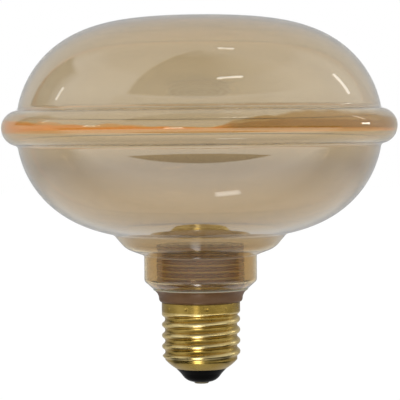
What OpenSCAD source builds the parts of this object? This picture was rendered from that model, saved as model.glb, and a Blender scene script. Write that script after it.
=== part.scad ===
// Saucer-shaped LED bulb: one blown amber glass body with a roll around its widest part,
// a ribbed clear lens in its neck, a moulded brown housing and a brass screw cap below.
// The bulb stands cap down. Its origin is the tip of the centre contact and +Z points to the dome.
// Lengths are in millimetres and angles in degrees.

/* [Screw cap] */
// Outside diameter over the thread's crests and over the plain rim
thread_d = 26.3; // [21.5:0.1:31.5]
// Height of the thread's waves, from root to crest
thread_depth = 1.05; // [0.8:0.01:1.3]
// Rise of the thread in one turn
thread_pitch = 3.629; // [2.9:0.001:4.4]
// Height of the crest at +X above the thread's lower end
thread_lead = 2.7; // [0.7:0.1:4.7]
// Thickness of the brass sheet
shell_wall = 0.4; // [0.3:0.01:0.5]
// Height of the plain rim above the thread
rim_h = 3; // [2.4:0.1:3.7]
// Height of the rolled thread
thread_h = 16.3; // [13:0.1:20]
// Height of the cone below the thread
taper_h = 3; // [2.4:0.1:5]
// Outside diameter of the cone's lower end
taper_d = 17; // [14:0.1:20.5]
// Diameter of the punch marks around the rim
punch_d = 1.1; // [0.6:0.1:1.4]
// Number of punch marks around the rim
punch_count = 12; // [4:1:24]

/* [Contact end] */
// Height of the black insulator with the contact under it
insulator_h = 5.1; // [4.1:0.1:6.2]
// Depth of the insulator's plug inside the cone
plug_h = 1.2; // [0.9:0.1:1.5]
// Diameter of the centre contact's head
contact_d = 5; // [4:0.1:6]
// Height of the contact's head below the insulator
contact_h = 0.5; // [0.4:0.05:0.7]
// Diameter of the contact's shank
shank_d = 3; // [2.5:0.1:3.6]

/* [Glass] */
// Diameter of the blown body without its roll
body_d = 122.66; // [95:0.01:165]
// Height of the dome above the middle of the roll
dome_h = 37; // [24:0.1:60]
// Depth of the bowl below the middle of the roll, as if it were closed
bowl_h = 37.7; // [28:0.1:60]
// How square the dome and the bowl are seen from the side, 2 is an ellipse
squareness = 3.19; // [2.1:0.01:5]
// Radius of the roll's round section
roll_r = 6.07; // [4.5:0.01:8.5]
// How far the roll stands out past the body
roll_stand = 4.87; // [3:0.01:7]
// Fillet between the dome and the roll
roll_fillet_top = 1.8; // [1:0.1:2.2]
// Fillet between the roll and the bowl
roll_fillet_low = 1.2; // [0.8:0.1:1.5]
// Wall of the blown glass
glass_wall = 1.1; // [0.7:0.01:1.8]
// Width of the step between the neck and the bowl
step_w = 10.2; // [8.4:0.1:16]
// Height of that step
step_h = 7.1; // [5.4:0.1:12]
// How far the step's belly lies out from the neck
belly_w = 6.15; // [5:0.05:7.4]
// How high the step's belly lies above the neck
belly_h = 2.3; // [1.8:0.1:2.8]
// Radius of the belly
belly_r = 8; // [6:0.1:9.6]
// Fillet between the step and the bowl
step_fillet = 3.5; // [2.5:0.1:4.3]
// Fillet between the neck and the step
neck_fillet = 0.8; // [0.6:0.1:1.1]
// Height of the glass from its mouth to the step
neck_h = 11.3; // [8.5:0.1:18]
// Clear space between the lens and the inside of the neck
neck_gap = 2.95; // [2.4:0.05:3.6]
// Height of the sloping shoulder above the mouth
shoulder_h = 2.7; // [2.2:0.1:3.3]
// Radius of the shoulder's outer bend
shoulder_r = 1.6; // [1.3:0.1:2]
// Width of the flat edge around the mouth
mouth_land = 0.9; // [0.7:0.05:1.1]
// Height of the bead of adhesive under the mouth
glue_h = 0.3; // [0.2:0.05:0.4]

/* [Lens] */
// Outside diameter of the clear lens over its ribs
lens_d = 29.7; // [24.5:0.1:36]
// Number of ribs, one above the other
rib_count = 7; // [3:1:12]
// Depth of the grooves between the ribs
rib_depth = 0.45; // [0.35:0.01:0.55]
// Wall of the lens behind its grooves
lens_wall = 1.2; // [1:0.05:1.45]
// Thickness of the lens's top
lens_top = 2.3; // [1.9:0.1:2.8]
// Number of rings on the lens's top
ring_count = 4; // [1:1:7]
// Height of the rings on the lens's top
ring_h = 0.7; // [0.5:0.05:0.9]
// Clear height between the housing and the underside of the lens's top
optic_gap = 2.2; // [1.8:0.1:2.7]

/* [Housing] */
// Height of the brown collar between the brass and the glass
collar_h = 4.2; // [3:0.1:5.1]
// How far the collar's waist stands out past the brass
collar_stand = 0.9; // [0.7:0.05:1.1]
// Radius of the collar's round lower edge
collar_edge = 1.2; // [0.9:0.05:1.45]
// Height of the tower that carries the LED board
tower_h = 10.9; // [9:0.1:13]
// Wall of the moulded housing
housing_wall = 1.3; // [1.1:0.05:1.6]
// Depth of the housing's skirt inside the brass
skirt_h = 14; // [11.5:0.1:16.8]

/* [LED board] */
// Thickness of the aluminium LED board
led_board_t = 1; // [0.8:0.1:1.2]
// Thickness of the aluminium cup under the board
cup_wall = 0.8; // [0.65:0.05:1]
// Number of LEDs
led_count = 8; // [3:1:9]
// Length of one LED
led_l = 3.5; // [2.9:0.1:4.2]
// Width of one LED
led_w = 2.8; // [2.3:0.1:3.3]
// Height of one LED
led_h = 0.75; // [0.6:0.05:0.9]
// Distance of the LEDs from the middle of the board
led_ring_r = 8; // [7:0.1:9]
// Diameter of the two supply pins
pin_d = 0.8; // [0.65:0.05:1]
// Distance between the supply pins
pin_gap = 4; // [3.4:0.1:4.8]
// How far the pins stand out above the LED board
pin_stand = 1.1; // [0.9:0.1:1.3]

/* [Driver] */
// Thickness of the driver board
driver_t = 1; // [0.8:0.1:1.2]
// Height of the driver board
driver_h = 20.5; // [18:0.1:22.5]
// Height of the driver board's lower edge above the skirt's end
driver_lift = 2.1; // [1.7:0.1:2.5]
// Height of the input capacitor
input_cap_h = 12; // [10:0.1:14]
// Diameter of the output capacitor
output_cap_d = 5; // [4:0.1:6]
// Height of the output capacitor
output_cap_h = 7; // [5.8:0.1:8.4]
// Diameter of the inductor's core
inductor_d = 6.4; // [5.3:0.1:7]
// Height of the inductor's core
inductor_h = 6.5; // [5.4:0.1:7.5]
// Width of the bridge rectifier
rectifier_w = 4.7; // [3.9:0.1:5.6]
// Thickness of the bridge rectifier
rectifier_t = 2.4; // [2:0.1:2.9]
// Width of the driver chip
chip_w = 4.9; // [4:0.1:5.8]
// Thickness of the driver chip
chip_t = 1.5; // [1.2:0.1:1.8]
// Diameter of the fuse resistor
fuse_d = 2.6; // [2.2:0.1:3.1]
// Diameter of the leads
lead_d = 0.7; // [0.55:0.05:0.85]

/* [Hidden] */

// Clearance between pieces that slide together
fit_gap = 0.15;
// Clearance between the lens and the pieces on both sides of it
lens_gap = 0.2;
// Clearance between a flat board and the slot or rim around it
board_gap = 0.1;
// Facets around the large and the small round pieces
big_fn = 144;
small_fn = 48;

// Clearance of the contact's shank and head in the insulator
shank_gap = 0.1;
// Clearance around the supply pins in the LED board and in the heat cup
pin_hole_gap = 0.2;
pin_cup_gap = 1;
// Clearance between the inductor's winding and its post, and between a pin and its solder
coat_gap = 0.02;
// How far the cutting solids run past what they cut
over = 1;

// Heights, from the contact's tip up
insulator_z = contact_h;
taper_z = insulator_h;
thread_z = taper_z + taper_h;
rim_z = thread_z + thread_h;
collar_z = rim_z + rim_h;
collar_top_z = collar_z + collar_h;
mouth_z = collar_top_z + glue_h;
shoulder_z = mouth_z + shoulder_h;
neck_top_z = mouth_z + neck_h;
step_top_z = neck_top_z + step_h;
skirt_z = collar_z - skirt_h;
ledge_t = housing_wall * 0.7;
ledge_z = collar_top_z + ledge_t;
tower_top_z = collar_top_z + tower_h;
lens_ceiling_z = tower_top_z + optic_gap;
lens_top_z = lens_ceiling_z + lens_top;
led_board_z = tower_top_z - board_gap * 2 - led_board_t;
led_z = led_board_z + led_board_t;
cup_z = led_board_z - cup_wall;
driver_z = skirt_z + driver_lift;
driver_top_z = driver_z + driver_h;
// How far the contact's shank stands out of the insulator's plug, and its height
shank_stand = 0.6;
contact_top_z = taper_z + plug_h + shank_stand;

// Radii
rim_r = thread_d / 2;
root_r = rim_r - thread_depth;
taper_r = taper_d / 2;
seat_r = rim_r - shell_wall - fit_gap;
skirt_r = root_r - shell_wall - fit_gap;
bore_r = skirt_r - housing_wall;
lens_groove_r = lens_d / 2 - rib_depth;
lens_bore_r = lens_groove_r - lens_wall;
tower_r = lens_bore_r - lens_gap;
tower_bore_r = tower_r - housing_wall;
cup_r = tower_bore_r - board_gap;
mouth_r = lens_d / 2 + fit_gap;
mouth_out_r = mouth_r + mouth_land;
neck_r = lens_d / 2 + neck_gap + glass_wall;
step_r = neck_r + step_w;
body_r = body_d / 2;
roll_c = body_r + roll_stand - roll_r;

// A point at a distance and an angle from a centre
function polar(c, r, a) = c + r * [cos(a), sin(a)];

// Points of an arc, without its first one
function arc(c, r, from, to, steps) =
    [for (i = [1:steps]) polar(c, r, from + (to - from) * i / steps)];

// Unit vector along v
function unit(v) = v / norm(v);

// A round corner at b between the lines from a and to c
function bend(a, b, c, r, steps) =
    let (
        u = unit(a - b),
        v = unit(c - b),
        half = acos(u * v) / 2,
        centre = b + unit(u + v) * r / sin(half),
        start = b + u * r / tan(half) - centre,
        finish = b + v * r / tan(half) - centre,
        from = atan2(start[1], start[0]),
        turn = atan2(finish[1], finish[0]) - from,
        sweep = turn > 180 ? turn - 360 : turn < -180 ? turn + 360 : turn
    )
    concat([centre + start], arc(centre, r, from, from + sweep, steps));

// Half outline of the dome or the bowl: radius at a height above or below the roll
function body_at(dz, h) = body_r * pow(1 - pow(dz / h, 2), 1 / squareness);
// and height at a radius
function body_dz(r, h) = h * sqrt(1 - pow(r / body_r, squareness));

// Height of a roll fillet's centre above or below the middle of the roll
function fillet_dz(f, wall_r) = sqrt(pow(roll_r + f, 2) - pow(wall_r + f - roll_c, 2));
function fillet_at(f, h) = fillet_dz(f, body_at(fillet_dz(f, body_at(roll_r, h)), h));

equator_z = step_top_z + body_dz(step_r, bowl_h);
roll_centre = [roll_c, equator_z];
top_dz = fillet_at(roll_fillet_top, dome_h);
low_dz = fillet_at(roll_fillet_low, bowl_h);
top_fillet_c = [body_at(top_dz, dome_h) + roll_fillet_top, equator_z + top_dz];
low_fillet_c = [body_at(low_dz, bowl_h) + roll_fillet_low, equator_z - low_dz];
top_lean = atan2(top_dz, top_fillet_c[0] - roll_c);
low_lean = atan2(low_dz, low_fillet_c[0] - roll_c);

// Angles along the half outline where the dome meets its fillet and the bowl its step
dome_end = acos(top_dz / dome_h);
bowl_start = acos(low_dz / bowl_h);
bowl_end_r = step_r + step_fillet * 0.4;
bowl_end = asin(pow(bowl_end_r / body_r, squareness / 2));
function body_point(a, h) = [body_r * pow(sin(a), 2 / squareness), h * cos(a)];

// Corners of the glass below the bowl
bowl_foot = [bowl_end_r, equator_z - body_dz(bowl_end_r, bowl_h)];
step_corner = [step_r, step_top_z];
belly_corner = [neck_r + belly_w, neck_top_z + belly_h];
neck_corner = [neck_r, neck_top_z];
shoulder_corner = [neck_r, shoulder_z];
mouth_corner = [mouth_out_r, mouth_z];

// Outer line of the glass, from the top of the dome to the mouth
glass_outline = concat(
    [for (i = [0:21]) body_point(dome_end * i / 21, dome_h) + [0, equator_z]],
    arc(top_fillet_c, roll_fillet_top, 180, 180 + top_lean, 3),
    arc(roll_centre, roll_r, top_lean, -low_lean, 16),
    arc(low_fillet_c, roll_fillet_low, 180 - low_lean, 180, 3),
    [for (i = [1:18]) let (p = body_point(bowl_start + (bowl_end - bowl_start) * i / 18, bowl_h))
        [p[0], equator_z - p[1]]],
    bend(bowl_foot, step_corner, belly_corner, step_fillet * 0.7, 3),
    bend(step_corner, belly_corner, neck_corner, belly_r, 4),
    bend(belly_corner, neck_corner, shoulder_corner, neck_fillet, 3),
    bend(neck_corner, shoulder_corner, mouth_corner, shoulder_r, 4)
);

// A line moved inwards by w, with its first point on the axis
function inset(line, w) =
    [for (i = [0:len(line) - 1])
        let (
            next = line[min(i + 1, len(line) - 1)],
            last = line[max(i - 1, 0)],
            along = unit(next - last)
        )
        i == 0 ? line[0] - [0, w] : line[i] + w * [along[1], -along[0]]];

function reversed(line) = [for (i = [len(line) - 1:-1:0]) line[i]];

module glass_envelope() {
    slope = atan2(shoulder_h, neck_r - mouth_out_r);
    lip_z = mouth_z + glass_wall / cos(slope) - mouth_land * tan(slope);
    lining = inset(glass_outline, glass_wall);
    color([0.86, 0.76, 0.58, 0.4])
    rotate_extrude($fn = big_fn)
    polygon(concat(glass_outline, [mouth_corner, [mouth_r, mouth_z], [mouth_r, lip_z]], reversed(lining)));
}

// A ring with square edges, standing on z
module ring(inner_r, outer_r, z, h, fn = big_fn) {
    translate([0, 0, z])
    difference() {
        cylinder(r = outer_r, h = h, $fn = fn);
        translate([0, 0, -over]) cylinder(r = inner_r, h = h + over * 2, $fn = fn);
    }
}

module neck_adhesive() {
    color([0.85, 0.82, 0.76])
    ring(mouth_r, mouth_out_r, collar_top_z, glue_h);
}

// Clear lens: round ribs up its side and a saw-tooth of rings on its top
module ring_lens() {
    lens_h = lens_top_z - collar_top_z;
    rib_h = lens_h / rib_count;
    side = [for (i = [0:rib_count - 1]) for (a = [-90:30:60])
        [lens_groove_r + rib_depth * cos(a), collar_top_z + rib_h * (i + 0.5 + sin(a) / 2)]];
    ring_w = lens_groove_r / ring_count;
    crown = [for (i = [0:ring_count - 1]) each [
        [lens_groove_r - ring_w * i, lens_top_z],
        [lens_groove_r - ring_w * (i + 1), lens_top_z - ring_h]]];
    color([0.93, 0.9, 0.82, 0.35])
    rotate_extrude($fn = big_fn)
    polygon(concat(side, crown, [[0, lens_ceiling_z], [lens_bore_r, lens_ceiling_z],
        [lens_bore_r, collar_top_z]]));
}

// Brown collar with a cove above its round lower edge
module collar() {
    waist_r = rim_r + collar_stand;
    waist_z = collar_z + collar_edge;
    cove_w = mouth_out_r - waist_r;
    cove_h = collar_top_z - waist_z;
    cove_r = (cove_w * cove_w + cove_h * cove_h) / (2 * cove_w);
    cove_c = [waist_r + cove_r, waist_z];
    rotate_extrude($fn = big_fn)
    polygon(concat(
        [[0, collar_top_z], [0, collar_z], [waist_r - collar_edge, collar_z]],
        arc([waist_r - collar_edge, waist_z], collar_edge, -90, 0, 4),
        arc(cove_c, cove_r, 180, 180 - asin(cove_h / cove_r), 6)));
}

// Ribs that hold the driver board: how far they stand in from the bore, and how thick each one is
rail_stand = 1.5;
rail_t = 1;
// Distance of the slot's floor from the bore
slot_back = 0.4;

// Two ribs with a slot between them that hold one edge of the driver board
module rail() {
    slot_w = driver_t + board_gap * 2;
    rail_h = ledge_z - skirt_z - rail_t / 2;
    translate([0, 0, skirt_z + rail_t / 2])
    difference() {
        translate([bore_r - rail_stand, -slot_w / 2 - rail_t, 0])
        cube([rail_stand + housing_wall * 0.4, slot_w + rail_t * 2, rail_h]);
        translate([bore_r - rail_stand - over, -slot_w / 2, -over])
        cube([rail_stand + over - slot_back, slot_w, rail_h + over * 2]);
    }
}

module housing() {
    color([0.45, 0.34, 0.24])
    union() {
        difference() {
            union() {
                collar();
                translate([0, 0, skirt_z])
                cylinder(r = skirt_r, h = collar_z - skirt_z + collar_h / 2, $fn = big_fn);
                translate([0, 0, rim_z + fit_gap]) cylinder(r = seat_r, h = rim_h, $fn = big_fn);
                translate([0, 0, collar_z + collar_h / 2])
                cylinder(r = tower_r, h = tower_h + collar_h / 2, $fn = big_fn);
            }
            translate([0, 0, skirt_z - over])
            cylinder(r = bore_r, h = tower_top_z - skirt_z + over * 2, $fn = big_fn);
            translate([0, 0, ledge_z])
            cylinder(r = tower_bore_r, h = tower_top_z - ledge_z + over, $fn = big_fn);
        }
        for (side = [0, 180]) rotate([0, 0, side]) rail();
    }
}

// Height of the thread's wave, u turns away from a crest: one arc over the crest, one through the root
function wave(u) =
    let (
        c = thread_pitch / 4,
        s = thread_depth / 2,
        r = (c * c + s * s) / (2 * s),
        d = abs(u - round(u)) * thread_pitch
    )
    d < c ? thread_depth - r + sqrt(r * r - d * d) : r - sqrt(r * r - pow(2 * c - d, 2));

// Smooth change from 0 to 1
function ease(x) = let (t = max(0, min(1, x))) t * t * (3 - 2 * t);

// Length over which the thread dies out at each end
fade_h = 1.6;

// Outside radius of the brass at a height and an angle, with the thread rising anticlockwise
function cone_r(t) = taper_r + (root_r - taper_r) * t * (1.3 - 0.3 * t);
function thread_r(z, a) =
    let (
        w = wave((z - thread_z - thread_lead) / thread_pitch - a / 360) * ease((z - thread_z) / fade_h)
    )
    root_r + w + (thread_depth - w) * ease((z - rim_z) / fade_h + 1);
function shell_r(z, a) =
    z < thread_z ? cone_r((z - taper_z) / taper_h) : z > rim_z ? rim_r : thread_r(z, a);

// Turn of the first punch mark from +X, as a share of the step between marks
punch_turn = 0.27;
// How far the punch's centre lies outside the rim, and the height of the marks
punch_out = punch_d * 0.2;
punch_z = rim_z + rim_h * 0.45;

// Brass shell: rows of points from the cone's end to the rim, the outside first and the inside after
module screw_shell() {
    cols = 36;
    thread_rows = ceil(8 * thread_h / thread_pitch);
    heights = concat(
        [for (i = [0:3]) taper_z + taper_h * i / 4],
        [for (i = [0:thread_rows]) thread_z + thread_h * i / thread_rows],
        [collar_z]);
    rows = len(heights);
    skin = [for (wall = [0, shell_wall]) for (z = heights) for (i = [0:cols - 1])
        let (a = 360 * i / cols, r = shell_r(z, a) - wall) [r * cos(a), r * sin(a), z]];
    inner = rows * cols;
    faces = concat(
        [for (j = [0:rows - 2]) for (i = [0:cols - 1])
            let (a = j * cols + i, b = j * cols + (i + 1) % cols)
            each [[a, b + cols, b], [a, a + cols, b + cols]]],
        [for (j = [0:rows - 2]) for (i = [0:cols - 1])
            let (a = inner + j * cols + i, b = inner + j * cols + (i + 1) % cols)
            each [[a, b, b + cols], [a, b + cols, a + cols]]],
        [for (i = [0:cols - 1])
            let (a = i, b = (i + 1) % cols)
            each [[a, b, inner + b], [a, inner + b, inner + a]]],
        [for (i = [0:cols - 1])
            let (a = (rows - 1) * cols + i, b = (rows - 1) * cols + (i + 1) % cols)
            each [[a, inner + b, b], [a, inner + a, inner + b]]]);
    color([0.72, 0.58, 0.29])
    difference() {
        polyhedron(skin, faces);
        for (i = [0:punch_count - 1])
            rotate([0, 0, (i + punch_turn) * 360 / punch_count])
            translate([rim_r + punch_out, 0, punch_z])
            sphere(d = punch_d, $fn = 16);
    }
}

// Black insulator: a nose below the brass, a plug in the cone and a hole for the contact's shank
module cap_insulator() {
    nose_h = taper_z - insulator_z;
    hole_r = shank_d / 2 + shank_gap;
    plug_top_z = taper_z + plug_h;
    foot = [contact_d / 2 + shank_gap, insulator_z];
    chin = [taper_r * 0.6, insulator_z + nose_h * 0.11];
    knee = [taper_r * 0.82, insulator_z + nose_h * 0.65];
    edge = [taper_r, taper_z];
    plug_r = taper_r - shell_wall - fit_gap;
    color([0.05, 0.04, 0.04])
    rotate_extrude($fn = small_fn * 2)
    polygon(concat(
        [[hole_r, plug_top_z], [hole_r, insulator_z], foot],
        bend(foot, chin, knee, taper_r * 0.55, 6),
        bend(chin, knee, edge, taper_r * 0.4, 3),
        [edge, [plug_r, taper_z], [plug_r, plug_top_z]]));
}

// Rivet with a flat tip
module centre_contact() {
    head_r = contact_d / 2;
    color([0.68, 0.62, 0.5])
    rotate_extrude($fn = small_fn)
    polygon(concat(
        [[0, 0], [head_r - contact_h, 0]],
        arc([head_r - contact_h, contact_h], contact_h, -90, 0, 4),
        [[shank_d / 2, contact_h], [shank_d / 2, contact_top_z], [0, contact_top_z]]));
}

// Aluminium cup that carries the LED board and takes its heat
module heat_cup() {
    hole_r = pin_gap / 2 + pin_d / 2 + pin_cup_gap;
    color([0.75, 0.75, 0.76])
    union() {
        ring(cup_r - cup_wall, cup_r, ledge_z, led_board_z - ledge_z);
        ring(hole_r, cup_r, cup_z, cup_wall);
    }
}

pin_y = driver_t / 2 + pin_d / 2;

// One of two pins or joints, at -X and +X
module pin_pair() {
    for (side = [-1, 1]) translate([side * pin_gap / 2, pin_y, 0]) children();
}

module led_board() {
    color([0.93, 0.93, 0.9])
    difference() {
        translate([0, 0, led_board_z]) cylinder(r = cup_r, h = led_board_t, $fn = big_fn);
        pin_pair() translate([0, 0, led_board_z - over])
        cylinder(r = pin_d / 2 + pin_hole_gap, h = led_board_t + over * 2, $fn = small_fn);
    }
}

module led_chips() {
    color([0.95, 0.82, 0.35])
    for (i = [0:led_count - 1])
        rotate([0, 0, (i + 0.5) * 360 / led_count])
        translate([led_ring_r - led_w / 2, -led_l / 2, led_z])
        cube([led_w, led_l, led_h]);
}

// Length of a supply pin that lies on the driver board
pin_lap = 3;

module led_pins() {
    foot_z = driver_top_z - pin_lap;
    color([0.8, 0.66, 0.36])
    pin_pair() translate([0, 0, foot_z])
    cylinder(d = pin_d, h = led_z + pin_stand - foot_z, $fn = small_fn);
}

module solder_joints() {
    color([0.78, 0.78, 0.78])
    pin_pair() translate([0, 0, led_z])
    difference() {
        cylinder(d1 = pin_d * 2.6, d2 = pin_d * 1.3, h = pin_stand * 0.7, $fn = small_fn);
        translate([0, 0, -over])
        cylinder(r = pin_d / 2 + coat_gap, h = pin_stand + over * 2, $fn = small_fn);
    }
}

// The driver board's width, its back face and the middle of its outer parts
driver_w = (bore_r - slot_back - board_gap * 2) * 2;
back_y = -driver_t / 2;
part_x = bore_r * 0.42;

// Heights of the parts above the driver board's lower edge
input_cap_lift = 2.5;
output_cap_lift = 9.4;
inductor_lift = 1.5;
rectifier_lift = 2;
chip_lift = 11.5;

module driver_board() {
    color([0.16, 0.4, 0.2])
    translate([-driver_w / 2, back_y, driver_z]) cube([driver_w, driver_t, driver_h]);
}

// Electrolytic capacitor standing on z, with its rolled groove and a bevelled can
module capacitor(d, h) {
    r = d / 2;
    bevel = 0.35;
    rotate_extrude($fn = small_fn)
    polygon([[0, 0], [r - bevel, 0], [r, bevel], [r, h * 0.12], [r - bevel, h * 0.16], [r, h * 0.2],
        [r, h - bevel], [r - bevel, h], [0, h]]);
}

module input_capacitor() {
    wall_gap = 1.8;
    d = bore_r - driver_t / 2 - wall_gap;
    color([0.13, 0.16, 0.25])
    translate([0, driver_t / 2 + d / 2, driver_z + input_cap_lift]) capacitor(d, input_cap_h);
}

module output_capacitor() {
    color([0.2, 0.2, 0.22])
    translate([part_x, back_y - output_cap_d / 2, driver_z + output_cap_lift])
    capacitor(output_cap_d, output_cap_h);
}

// Radius and flange of the inductor's drum core
drum_r = inductor_d / 2;
flange_t = inductor_h * 0.14;

// Drum core: two flanges on a post
module inductor_core() {
    color([0.22, 0.22, 0.23])
    translate([-part_x, back_y - drum_r, driver_z + inductor_lift])
    rotate_extrude($fn = small_fn)
    polygon([[0, 0], [drum_r, 0], [drum_r, flange_t], [drum_r / 2, flange_t],
        [drum_r / 2, inductor_h - flange_t], [drum_r, inductor_h - flange_t],
        [drum_r, inductor_h], [0, inductor_h]]);
}

module inductor_winding() {
    color([0.72, 0.38, 0.2])
    translate([-part_x, back_y - drum_r, driver_z + inductor_lift])
    ring(drum_r / 2 + coat_gap, drum_r * 0.88, flange_t, inductor_h - flange_t * 2, small_fn);
}

module bridge_rectifier() {
    length = 4;
    color([0.1, 0.1, 0.11])
    translate([part_x - rectifier_w / 2, back_y - rectifier_t, driver_z + rectifier_lift])
    cube([rectifier_w, rectifier_t, length]);
}

// Small chip with four legs on each side, standing on the board
module driver_chip() {
    length = 3.9;
    leg_w = 0.4;
    leg_l = 0.9;
    color([0.1, 0.1, 0.11])
    translate([-part_x, back_y, driver_z + chip_lift])
    union() {
        translate([-chip_w / 2, -chip_t, 0]) cube([chip_w, chip_t, length]);
        for (i = [-1.5:1:1.5])
            translate([i * chip_w / 4 - leg_w / 2, -leg_w / 2, -leg_l])
            cube([leg_w, leg_w / 2, length + leg_l * 2]);
    }
}

lead_y = driver_t / 2 + lead_d / 2;
// Length of a lead that lies on the driver board
lead_lap = 1.8;
// Bare wire below and above the fuse resistor
wire_below = 1.3;
wire_above = 1.2;
fuse_z = contact_top_z + wire_below;
fuse_h = driver_z - wire_above - fuse_z;

// Resistor with a bulge at each end
module fuse_resistor() {
    bulge_h = fuse_h * 0.22;
    color([0.35, 0.5, 0.42])
    translate([0, lead_y, fuse_z])
    union() {
        cylinder(d = fuse_d * 0.88, h = fuse_h, $fn = small_fn);
        for (z = [0, fuse_h - bulge_h])
            translate([0, 0, z]) cylinder(d = fuse_d, h = bulge_h, $fn = small_fn);
    }
}

// A round wire along a list of points, its straight lengths lapped a little at each bend
module wire(points, d) {
    last = len(points) - 2;
    lap = d * 0.2;
    for (i = [0:last])
        let (
            v = points[i + 1] - points[i],
            before = i > 0 ? lap : 0,
            after = i < last ? lap : 0
        )
        translate(points[i])
        rotate([0, acos(v[2] / norm(v)), atan2(v[1], v[0])])
        translate([0, 0, -before])
        cylinder(d = d, h = norm(v) + before + after, $fn = small_fn);
}

// The two ends of the fuse resistor's wire, one on the contact and one on the driver board
module live_lead() {
    board_end_z = driver_z + lead_lap;
    color([0.75, 0.7, 0.62])
    union() {
        translate([0, lead_y, contact_top_z])
        cylinder(d = lead_d, h = fuse_z - contact_top_z, $fn = small_fn);
        translate([0, lead_y, fuse_z + fuse_h])
        cylinder(d = lead_d, h = board_end_z - fuse_z - fuse_h, $fn = small_fn);
    }
}

// Wire from the driver board, under the skirt's edge, to the inside of the brass
module neutral_lead() {
    x = bore_r * 0.64;
    low_z = skirt_z - lead_d - fit_gap * 2;
    droop = 0.5;
    end_x = root_r - shell_wall - fit_gap - lead_d / 2;
    color([0.75, 0.7, 0.62])
    wire([[end_x, lead_y, low_z - droop], [x, lead_y, low_z], [x, lead_y, driver_z + lead_lap]], lead_d);
}

glass_envelope();
neck_adhesive();
ring_lens();
housing();
screw_shell();
cap_insulator();
centre_contact();
heat_cup();
led_board();
led_chips();
led_pins();
solder_joints();
driver_board();
input_capacitor();
output_capacitor();
inductor_core();
inductor_winding();
bridge_rectifier();
driver_chip();
fuse_resistor();
live_lead();
neutral_lead();
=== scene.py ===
# %% [markdown]
# A saucer-shaped LED bulb: blown amber glass, a ribbed clear lens in its neck, a moulded brown
# housing and a brass screw cap. The CAD model already has every piece at its true place and size,
# so this lesson starts from it. It keeps the pieces whose shape is right, gives them finishes, and
# builds the few that need finer curves than a CAD mesh has: the glass, the lens, the brass and the
# LEDs.

# %% Load the CAD frame
from math import acos, asin, atan2, ceil, cos, degrees, hypot, pi, radians, sin, sqrt, tan

import bpy
from mathutils import Euler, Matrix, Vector


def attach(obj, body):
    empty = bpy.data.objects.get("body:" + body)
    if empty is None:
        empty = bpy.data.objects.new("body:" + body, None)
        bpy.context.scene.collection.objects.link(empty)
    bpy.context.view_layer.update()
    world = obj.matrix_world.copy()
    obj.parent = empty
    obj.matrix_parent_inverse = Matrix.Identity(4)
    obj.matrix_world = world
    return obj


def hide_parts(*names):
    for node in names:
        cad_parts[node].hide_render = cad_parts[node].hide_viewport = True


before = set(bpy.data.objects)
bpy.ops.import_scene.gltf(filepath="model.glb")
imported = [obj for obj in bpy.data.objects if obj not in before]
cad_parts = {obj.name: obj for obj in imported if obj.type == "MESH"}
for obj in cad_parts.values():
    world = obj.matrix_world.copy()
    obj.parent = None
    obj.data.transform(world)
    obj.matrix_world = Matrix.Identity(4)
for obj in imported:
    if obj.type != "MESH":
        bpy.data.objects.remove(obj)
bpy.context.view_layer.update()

MM = 0.001
print("CAD nodes:", len(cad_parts))

# %% [markdown]
# The camera comes first, because each finish is judged through it. The picture was taken almost
# level with the roll of the glass from about 0.7 m away, with a long lens. The bulb leans half a
# degree in the picture, so the camera is rolled by that and the bulb stays upright.

# %% Camera
CAMERA_AT = Vector((0.0, -0.70, 0.086))
LOOK_AT = Vector((0.0, 0.0, 0.0616))
LENS_MM = 188
LEAN = radians(-0.5)

camera_data = bpy.data.cameras.new("camera")
camera_data.lens = LENS_MM
camera_data.sensor_width = 36
camera = bpy.data.objects.new("camera", camera_data)
bpy.context.scene.collection.objects.link(camera)
camera.location = CAMERA_AT
facing = (LOOK_AT - CAMERA_AT).to_track_quat("-Z", "Y")
camera.rotation_euler = (facing.to_matrix() @ Euler((0, 0, LEAN)).to_matrix()).to_euler()
bpy.context.scene.camera = camera
bpy.context.scene.view_settings.view_transform = "Standard"
print("camera", [round(v, 3) for v in camera.location], "lens", LENS_MM)

# %% [markdown]
# Every finish below is a small tree of shader nodes. One helper adds a node: its settings are
# keyword arguments, and its inputs are given as values or as another node's output. Colours are
# written as the hex values that one reads off a screen, and one function turns them to linear light.

# %% Helpers for colours and nodes
def linear(hex_colour):
    """A hex colour such as "b5a685" as linear red, green and blue, with an alpha of 1."""
    channels = [int(hex_colour[i:i + 2], 16) / 255 for i in (0, 2, 4)]
    light = [c / 12.92 if c <= 0.04045 else ((c + 0.055) / 1.055) ** 2.4 for c in channels]
    return tuple(light + [1.0])


def add(tree, kind, inputs=None, **settings):
    """Adds one node. inputs maps a socket's name or number to a value or to an output socket."""
    node = tree.nodes.new("ShaderNode" + kind)
    for name, value in settings.items():
        setattr(node, name, value)
    for key, value in (inputs or {}).items():
        if isinstance(value, bpy.types.NodeSocket):
            tree.links.new(value, node.inputs[key])
        else:
            node.inputs[key].default_value = value
    return node


print("amber:", [round(v, 3) for v in linear("baa98a")])

# %% [markdown]
# Each material starts from Blender's Principled shader. These helpers make the material, set the
# plain numbers on the shader's own sockets, hand back the tree so that patterns can be added, and
# link a colour and a roughness that change over the surface.

# %% Helpers for materials
def empty_tree(holder):
    """The node tree of a material or a world, without the nodes that it starts with."""
    holder.use_nodes = True
    holder.node_tree.nodes.clear()
    return holder.node_tree


def material(name, **plain):
    """A new material with a Principled shader. plain gives its sockets, with _ for a space."""
    made = bpy.data.materials.new(name)
    tree = empty_tree(made)
    shader = add(tree, "BsdfPrincipled", {key.replace("_", " "): v for key, v in plain.items()})
    add(tree, "OutputMaterial", {"Surface": shader.outputs[0]})
    return made, tree, shader


def finish(tree, shader, colour, roughness):
    """Links a colour and a roughness, which are outputs of nodes, to the shader."""
    tree.links.new(colour, shader.inputs["Base Color"])
    tree.links.new(roughness, shader.inputs["Roughness"])


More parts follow.
